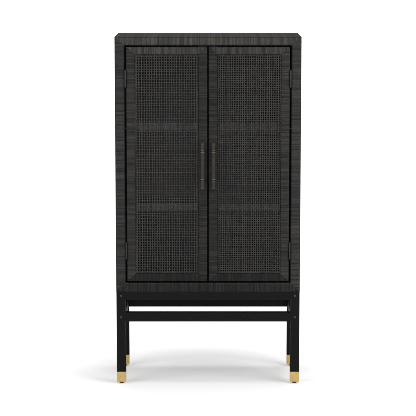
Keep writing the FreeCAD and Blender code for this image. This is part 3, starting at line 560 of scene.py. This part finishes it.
# Each door member's cord lightness is painted light: top rails lightest, bottom rails darkest, and the
# stiles by the middle gap darker than the outer ones as painted shade.
DOOR_PAINTED_LIGHT_LEVELS = {"left": {"left": 0.59, "top": 0.90, "right": 0.36, "bottom": -0.10},
              "right": {"left": 0.34, "top": 0.84, "right": 0.63, "bottom": -0.12}}
CROSS_RAIL_SHADE = 0.6
SMALLEST_GAP = 1e-5
# The cross rails sit in shade behind the woven panel; their cord is made lighter than the rest as painted
# light.
rail_cord_painted_light = twisted_cord("cross_rail_binding_painted_light", CORD_LAY, 1, brightness=2.6)


def spans_of(node):
    """The separate stretches, from low to high, that a CAD piece fills along the height."""
    mesh = nodes[node].data
    reach = sorted((min(mesh.vertices[v].co.z for v in face.vertices),
                    max(mesh.vertices[v].co.z for v in face.vertices)) for face in mesh.polygons)
    spans = [list(reach[0])]
    for low, high in reach[1:]:
        if low > spans[-1][1] + SMALLEST_GAP:
            spans.append([low, high])
        spans[-1][1] = max(spans[-1][1], high)
    return spans


def bound_all_round(name, width, deep, length, slopes, to_place, shade, seed):
    """A frame member bound on all four sides, as dark at its edges as on its faces."""
    corners = [(width, deep), (width, 0), (0, 0), (0, deep)]
    path, outward = rounded_path(corners, [DOOR_ROUND] * 4, DOOR_SPACING, closed=True)
    ribbed = np.ones(len(path))
    painted_shading = np.zeros(len(path))
    return wound_member(name, path, outward, ribbed, painted_shading, length, slopes, to_place, shade, seed)


for name in ("left_door_stiles", "right_door_stiles"):
    finish_node(name, upright_board)
for side in ("left", "right"):
    finish_node(f"{side}_door_rails", level_board)
    finish_node(f"{side}_door_cross_rails", level_board)

openings = {}
for side in ("left", "right"):
    low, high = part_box(f"{side}_door_cord_wrap")
    panel_low, panel_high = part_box(f"{side}_door_woven_panel")
    rail_low, rail_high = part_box(f"{side}_door_cross_rails")
    tuck = rail_low.x - panel_low.x
    openings[side] = (rail_low.x, rail_high.x, panel_low.z + tuck, panel_high.z - tuck, tuck)
    widths = {"left": rail_low.x - low.x, "right": high.x - rail_high.x,
              "top": high.z - panel_high.z + tuck, "bottom": panel_low.z + tuck - low.z}
    places = ring_places(low, high)
    for number, member in enumerate(RING):
        length = high.z - low.z if member in ("left", "right") else high.x - low.x
        piece = bound_all_round(f"{side}_door_{member}_cord", widths[member], high.y - low.y, length,
                                mitre_slopes(widths, number), places[member],
                                DOOR_PAINTED_LIGHT_LEVELS[side][member], seed=DOOR_SEEDS[side] + number)
        piece.data.materials.append(case_cord)
        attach(piece, f"{side}_door")
        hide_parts(f"{side}_door_cord_wrap")
    for number, (rail_bottom, rail_top) in enumerate(spans_of(f"{side}_door_cross_rails")):
        sleeve_low = (rail_low.x, rail_low.y - CORD_LAYER, rail_bottom - CORD_LAYER)
        sleeve_high = (rail_high.x, rail_high.y + CORD_LAYER, rail_top + CORD_LAYER)
        piece = bound_all_round(f"{side}_door_cross_rail_{number + 1}_cord", sleeve_high[2] - sleeve_low[2],
                                sleeve_high[1] - sleeve_low[1], rail_high.x - rail_low.x, [0, 0],
                                ring_places(sleeve_low, sleeve_high)["top"], CROSS_RAIL_SHADE,
                                seed=CROSS_RAIL_SEEDS[side] + number)
        piece.data.materials.append(rail_cord_painted_light)
        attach(piece, f"{side}_door")
        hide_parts(f"{side}_door_cord_wrap")

# ---------------------------------------------------------------------------------------------
# Woven door panels. Flattened cords of the same plant fibre, a little over five millimetres wide,
# woven one over, one under by hand on each frame, so the two doors' counts differ and the rows
# wander a little.
# ---------------------------------------------------------------------------------------------
WEAVE_COUNTS = {"left": (25, 85), "right": (29, 99)}
WEAVE_MARGINS = {"left": (0.010, 0.009), "right": (0.0035, 0.009)}
EDGE_CORD = 0.003
WEAVE_WIDE = 0.0054
WEAVE_THICK = 0.0031
WEAVE_SWING = 0.00155
WEAVE_STEPS = 4
WEAVE_SEEDS = {"left": (61, 62), "right": (63, 64)}
SWING_DRIFT = (9, 0.10)
SWING_LIMIT = 0.2
PLACE_SPREAD = 0.0003
SLOW_WANDER = (22, 0.0005)
QUICK_WANDER = (5, 0.0002)
SWELL_DRIFT = (6, 0.06)
SWELL_LIMIT = 0.14
WEAVE_TONE = 0.5
WEAVE_TONE_SPREAD = 0.08
WEAVE_LAY = 0.012
BAKE_ROW_SHARE = 0.92
# The woven cords are lighter copies of the binding's cord, as painted light, and the upright ones lighter
# than the level ones as a painted highlight where the side lights catch them.
upright_cord_painted_light = twisted_cord("upright_woven_cord_painted_light", WEAVE_LAY, 2, brightness=2.15)
level_cord_painted_light = twisted_cord("level_woven_cord_painted_light", WEAVE_LAY, 2, brightness=1.75)


def strand_mesh(name, centres, wide, thick, half_wide, half_thick, tones, rows_each=1, sides=6):
    """Round or flattened cords along their centre lines, as one mesh.

    centres, wide and thick are (cord, ring, 3) arrays; wide, thick and the way along make a
    right-handed set. rows_each says over how many rows of the bake map each cord is laid.
    """
    count, rings = centres.shape[:2]
    turn = np.arange(sides) * 2 * math.pi / sides
    section = (wide[:, :, None, :] * (half_wide[:, :, None] * np.cos(turn))[..., None]
               + thick[:, :, None, :] * (half_thick[:, :, None] * np.sin(turn))[..., None])
    points = (centres[:, :, None, :] + section).reshape(-1, 3)
    number = np.arange(count * rings * sides).reshape(count, rings, sides)
    beside = np.roll(number, -1, axis=2)
    quads = np.stack([number[:, :-1], beside[:, :-1], beside[:, 1:], number[:, 1:]], -1)
    travelled = np.zeros((count, rings))
    travelled[:, 1:] = np.cumsum(np.linalg.norm(np.diff(centres, axis=1), axis=2), axis=1)
    cord, ring, face_side, corner = np.indices(quads.shape)
    at_ring = ring + (corner >= 2)
    at_side = face_side + ((corner == 1) | (corner == 2))
    end_cord, end_side = np.indices((count, sides))
    end_cord = np.stack([end_cord, end_cord], 1).reshape(-1)
    end_side = np.stack([end_side[:, ::-1], end_side], 1).reshape(-1)
    end_ring = np.tile(np.repeat([0, rings - 1], sides), count)
    ends = number[end_cord, end_ring, end_side].reshape(-1, sides)
    at_cord = np.concatenate([cord.ravel(), end_cord])
    row_length = -(-(rings - 1) // rows_each)
    row = np.concatenate([(ring // row_length).ravel(), np.minimum(end_ring, rings - 2) // row_length])
    at_ring = np.concatenate([at_ring.ravel(), end_ring])
    at_side = np.concatenate([at_side.ravel(), end_side])
    values = {"along": travelled[at_cord, at_ring], "strand": at_side / sides, "tone": tones[at_cord]}
    bake_row = at_cord * rows_each + row + BAKE_ROW_SHARE * at_side / sides
    bake_place = np.stack([(at_ring - row * row_length) / row_length, bake_row / (count * rows_each)], 1)
    faces = quads.reshape(-1, 4).tolist() + ends.tolist()
    return fill_mesh(name, points, faces, values, bake_place, quads.size // 4)


def wander(random, count, rings, step, size):
    """A slow drift for each of some cords, a value at every ring."""
    knots = random.normal(0, size, (count, rings // step + 3))
    at = np.arange(rings) / step
    return np.array([np.interp(at, np.arange(knots.shape[1]), row) for row in knots])


def cord_places(low, high, count, margin):
    """Where the cords of one set cross a panel: evenly spaced, with one more close to each edge."""
    places = np.linspace(low + margin, high - margin, count)
    if margin > 2 * EDGE_CORD:
        places = np.concatenate([[low + EDGE_CORD], places, [high - EDGE_CORD]])
    return places


def woven_set(name, places, cross_places, reach, upright, middle, material, seed):
    """All the upright or all the level cords of one panel, over and under the cords they cross."""
    random = np.random.default_rng(seed)
    count = len(places)
    knots = np.concatenate([[reach[0]], cross_places, [reach[1]]])
    shares = np.arange(WEAVE_STEPS) / WEAVE_STEPS
    along = (knots[:-1, None] + shares * np.diff(knots)[:, None]).ravel()
    along = np.append(along, reach[1])
    rings = len(along)
    turn = math.pi * (np.arange(rings) / WEAVE_STEPS - 1)
    swing = np.cos(turn)
    slope = np.gradient(swing, along)
    hand = (1 if upright else -1) * (-1.0) ** np.arange(count)
    size = WEAVE_SWING * (1 + wander(random, count, rings, *SWING_DRIFT).clip(-SWING_LIMIT, SWING_LIMIT))
    out = -hand[:, None] * size * swing
    tilt = -hand[:, None] * size * slope
    across = (places[:, None] + random.normal(0, PLACE_SPREAD, count)[:, None]
              + wander(random, count, rings, *SLOW_WANDER) + wander(random, count, rings, *QUICK_WANDER))
    steady = 1 / np.sqrt(1 + tilt ** 2)
    none, full = np.zeros_like(out), np.ones_like(out)
    along = np.broadcast_to(along, out.shape)
    if upright:
        centres = np.stack([across, middle + out, along], -1)
        wide = np.stack([full, none, none], -1)
        thick = np.stack([none, steady, -tilt * steady], -1)
    else:
        centres = np.stack([along, middle + out, across], -1)
        wide = np.stack([none, none, -full], -1)
        thick = np.stack([-tilt * steady, steady, none], -1)
    swell = 1 + wander(random, count, rings, *SWELL_DRIFT).clip(-SWELL_LIMIT, SWELL_LIMIT)
    tones = WEAVE_TONE + random.normal(0, WEAVE_TONE_SPREAD, count)
    piece = strand_mesh(name, centres, wide, thick, swell * WEAVE_WIDE / 2, swell * WEAVE_THICK / 2, tones)
    piece.data.materials.append(material)
    return piece


for side in ("left", "right"):
    left, right, bottom, top, tuck = openings[side]
    upright_count, level_count = WEAVE_COUNTS[side]
    upright_margin, level_margin = WEAVE_MARGINS[side]
    upright_places = cord_places(left, right, upright_count, upright_margin)
    level_places = cord_places(bottom, top, level_count, level_margin)
    panel_low, panel_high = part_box(f"{side}_door_woven_panel")
    middle = (panel_low.y + panel_high.y) / 2
    uprights = woven_set(f"{side}_door_upright_weave", upright_places, level_places,
                         (bottom - tuck, top + tuck), True, middle, upright_cord_painted_light, WEAVE_SEEDS[side][0])
    levels = woven_set(f"{side}_door_level_weave", level_places, upright_places,
                       (left - tuck, right + tuck), False, middle, level_cord_painted_light, WEAVE_SEEDS[side][1])
    for piece in (uprights, levels):
        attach(piece, f"{side}_door")
        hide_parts(f"{side}_door_woven_panel")

# ---------------------------------------------------------------------------------------------
# Hinges, screws and catches. Black satin butt hinges let in flush, their loose pins capped, with
# black screws, and blackened plates on the doors for the magnets.
# ---------------------------------------------------------------------------------------------
SATIN_BLACK = (0.018, 0.018, 0.018, 1)
satin_black = hard_metal("satin_black_metal", SATIN_BLACK, (0.34, 0.52), speckle=500, metallic=0.0)
for name in ("case_hinge_leaves", "case_hinge_screws", "hinge_pins"):
    finish_node(name, satin_black)
for side in ("left", "right"):
    finish_node(f"{side}_door_hinge_leaves", satin_black)
    finish_node(f"{side}_door_screws", satin_black)
    finish_node(f"{side}_door_strike_plate", gunmetal)

# ---------------------------------------------------------------------------------------------
# Handles. A black bar on two posts, wound tightly with cord between thin turned brass rings, and
# closed with a brass cap at each end.
# ---------------------------------------------------------------------------------------------
TURN_STEPS = 20
TURN_SLACK = 0.0002
HANDLE_SEEDS = {"left": 81, "right": 86}
HANDLE_BAKE_ROWS = 12
HANDLE_LAY = 0.007
RING_EDGE = 0.0006
EDGE_SHARES = (0, 0.33, 0.67, 1)
RING_SIDES = 48
RING_CREASE = 0.6
WELD = 1e-6
AGED_BRASS = (0.34, 0.265, 0.14, 1)
AGED_BRASS_DEEP = (0.215, 0.165, 0.09, 1)
handle_cord = twisted_cord("handle_cord", HANDLE_LAY, 1, brightness=2.3)
aged_brass = brushed_brass("aged_brass", AGED_BRASS, AGED_BRASS_DEEP)


def turned_part(mesh, low, high, inner, outer, edge, centre):
    """Adds a turned ring, or a disc where inner is 0, with softened edges to a mesh."""
    profile = [(inner, low)]
    for height, way in ((low, 1), (high, -1)):
        arc = []
        for share in EDGE_SHARES:
            angle = share * math.pi / 2
            arc.append((outer - edge + edge * math.sin(angle), height + way * edge * (1 - math.cos(angle))))
        profile += arc if way > 0 else arc[::-1]
    profile.append((inner, high))
    corners = [mesh.verts.new((centre[0] + reach, centre[1], height)) for reach, height in profile]
    edges = [mesh.edges.new(pair) for pair in zip(corners, corners[1:])]
    if inner:
        edges.append(mesh.edges.new((corners[-1], corners[0])))
    bmesh.ops.spin(mesh, geom=corners + edges, cent=(*centre, 0), axis=(0, 0, 1), angle=2 * math.pi,
                   steps=RING_SIDES, use_merge=True)


def wound_turns(name, bottom, top, centre, rod, outer, seed):
    """One cord wound round an upright rod in close turns."""
    random = np.random.default_rng(seed)
    thickness = outer - rod
    turns = round((top - bottom) / thickness)
    steps = np.arange(turns * TURN_STEPS + 1)
    angle = steps * 2 * math.pi / TURN_STEPS
    reach = outer - thickness / 2 - TURN_SLACK * random.random(len(steps))
    outward = np.stack([np.cos(angle), np.sin(angle), np.zeros(len(steps))], -1)
    centres = outward * reach[:, None] + np.array([*centre, 0])
    centres[:, 2] = bottom + thickness / 2 + (top - bottom - thickness) * steps / steps[-1]
    downward = np.zeros_like(outward)
    downward[:, 2] = -1
    half = np.full((1, len(steps)), thickness / 2)
    return strand_mesh(name, centres[None], downward[None], outward[None], half, half,
                       np.array([WEAVE_TONE]), rows_each=HANDLE_BAKE_ROWS)


for side in ("left", "right"):
    low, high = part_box(f"{side}_handle_cord_binding")
    rod_low, rod_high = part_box(f"{side}_handle_rod")
    centre = ((low.x + high.x) / 2, (low.y + high.y) / 2)
    outer = (high.x - low.x) / 2
    rod = (rod_high.x - rod_low.x) / 2
    finish_node(f"{side}_handle_rod", satin_black)
    for number, (bottom, top) in enumerate(spans_of(f"{side}_handle_cord_binding")):
        piece = wound_turns(f"{side}_handle_cord_{number + 1}", bottom, top, centre, rod, outer,
                            seed=HANDLE_SEEDS[side] + number)
        piece.data.materials.append(handle_cord)
        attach(piece, f"{side}_door")
        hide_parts(f"{side}_handle_cord_binding")
    turned = bmesh.new()
    brass_low, brass_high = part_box(f"{side}_handle_brass")
    ring_radius = (brass_high.x - brass_low.x) / 2
    low_cap, *rings, high_cap = spans_of(f"{side}_handle_brass")
    for bottom, top in (low_cap, high_cap):
        turned_part(turned, bottom, top, 0, outer, RING_EDGE, centre)
    for bottom, top in rings:
        turned_part(turned, bottom, top, rod, ring_radius, RING_EDGE, centre)
    bmesh.ops.remove_doubles(turned, verts=turned.verts, dist=WELD)
    bmesh.ops.recalc_face_normals(turned, faces=turned.faces)
    mesh = bpy.data.meshes.new(f"{side}_handle_brass_rings")
    turned.to_mesh(mesh)
    turned.free()
    mesh.shade_smooth()
    mesh.set_sharp_from_angle(angle=RING_CREASE)
    mesh.materials.append(aged_brass)
    piece = bpy.data.objects.new(f"{side}_handle_brass_rings", mesh)
    bpy.context.scene.collection.objects.link(piece)
    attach(piece, f"{side}_door")
    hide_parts(f"{side}_handle_brass")

# ---------------------------------------------------------------------------------------------
# Floor, light and camera. A plain white floor that runs out of sight and brightens away from the
# cabinet, a soft light at each side in front, one overhead, and a long lens above the cabinet's top.
# ---------------------------------------------------------------------------------------------
FLOOR_RADIUS = 150
FLOOR_SIDES = 96
FLOOR_DROP = 0.0002
FLOOR_WHITE = (0.8, 0.8, 0.8, 1)
FLOOR_GLOW = ((0.5, 0.31), (1.1, 0.60), (12.0, 1.0))
GLOW_REACH = 12.0
FLOOR_BOUNCE = 0.22
SKY_LIGHT = 0.30
SKY_SEEN = 1.0
WHITE = (1, 1, 1, 1)
SIDE_LIGHT_OUT = 3.1
SIDE_LIGHT_FORWARD = 2.4
SIDE_LIGHT_HIGH = 2.9
SIDE_LIGHT_AIM = 1.7
SIDE_LIGHT_SIZE = (2.6, 2.4)
LEFT_POWER = 75
RIGHT_POWER = 95
OVERHEAD_PLACE = (0.8, 0.2)
OVERHEAD_HIGH = 8.0
OVERHEAD_SIZE = (4.0, 4.0)
OVERHEAD_POWER = 300
CAMERA_BACK = 9.381
CAMERA_HEIGHT = 2.283
CAMERA_DOWN = math.radians(8.107)
CAMERA_LENS = 155.94
CAMERA_FILM = 36
CAMERA_REACH = 400
PIXEL_SPREAD = 0.8
front = case_low.y

disc = bmesh.new()
bmesh.ops.create_circle(disc, cap_ends=True, radius=FLOOR_RADIUS, segments=FLOOR_SIDES)
floor_mesh = bpy.data.meshes.new("floor")
disc.to_mesh(floor_mesh)
disc.free()
floor = bpy.data.objects.new("floor", floor_mesh)
floor.location.z = -FLOOR_DROP
bpy.context.scene.collection.objects.link(floor)
floor_white, tree, shader = new_material("floor_white")
shader.inputs["Base Color"].default_value = FLOOR_WHITE
shader.inputs["Roughness"].default_value = 0.9
shader.inputs["Specular IOR Level"].default_value = 0.1
place = tree.nodes.new("ShaderNodeNewGeometry").outputs["Position"]
away = add(tree, "ShaderNodeVectorMath", Vector=place)
away.operation = "LENGTH"
glow = ramp(tree, maths(tree, "DIVIDE", away.outputs["Value"], GLOW_REACH),
            [(place / GLOW_REACH, (level, level, level, 1)) for place, level in FLOOR_GLOW])
seen = tree.nodes.new("ShaderNodeLightPath").outputs["Is Camera Ray"]
strength = add(tree, "ShaderNodeMix", Factor=seen)
strength.inputs["A"].default_value = FLOOR_BOUNCE
tree.links.new(glow, strength.inputs["B"])
shader.inputs["Emission Color"].default_value = WHITE
tree.links.new(strength.outputs["Result"], shader.inputs["Emission Strength"])
floor_white.cycles.emission_sampling = "NONE"
floor.data.materials.append(floor_white)

world = bpy.data.worlds.new("studio")
bpy.context.scene.world = world
world.use_nodes = True
tree = world.node_tree
background = tree.nodes["Background"]
background.inputs["Color"].default_value = WHITE
seen = tree.nodes.new("ShaderNodeLightPath").outputs["Is Camera Ray"]
tree.links.new(between(tree, seen, SKY_LIGHT, SKY_SEEN), background.inputs["Strength"])


def soft_light(name, place, aim, width, height, power):
    """A rectangular soft light that faces a point."""
    light = bpy.data.lights.new(name, "AREA")
    light.shape = "RECTANGLE"
    light.size = width
    light.size_y = height
    light.energy = power
    lamp = bpy.data.objects.new(name, light)
    lamp.location = place
    lamp.rotation_euler = (Vector(aim) - Vector(place)).to_track_quat("-Z", "Y").to_euler()
    bpy.context.scene.collection.objects.link(lamp)


for name, way, power in (("left_light", -1, LEFT_POWER), ("right_light", 1, RIGHT_POWER)):
    place = (way * SIDE_LIGHT_OUT, front - SIDE_LIGHT_FORWARD, SIDE_LIGHT_HIGH)
    soft_light(name, place, (0, 0, SIDE_LIGHT_AIM), *SIDE_LIGHT_SIZE, power)
soft_light("overhead_light", (*OVERHEAD_PLACE, OVERHEAD_HIGH), (*OVERHEAD_PLACE, 0), *OVERHEAD_SIZE,
           OVERHEAD_POWER)

lens = bpy.data.cameras.new("camera")
lens.lens = CAMERA_LENS
lens.sensor_width = CAMERA_FILM
lens.clip_end = CAMERA_REACH
camera = bpy.data.objects.new("camera", lens)
camera.location = (0, front - CAMERA_BACK, CAMERA_HEIGHT)
camera.rotation_euler = (math.pi / 2 - CAMERA_DOWN, 0, 0)
bpy.context.scene.collection.objects.link(camera)
bpy.context.scene.camera = camera
bpy.context.scene.view_settings.view_transform = "Standard"
bpy.context.scene.cycles.filter_width = PIXEL_SPREAD
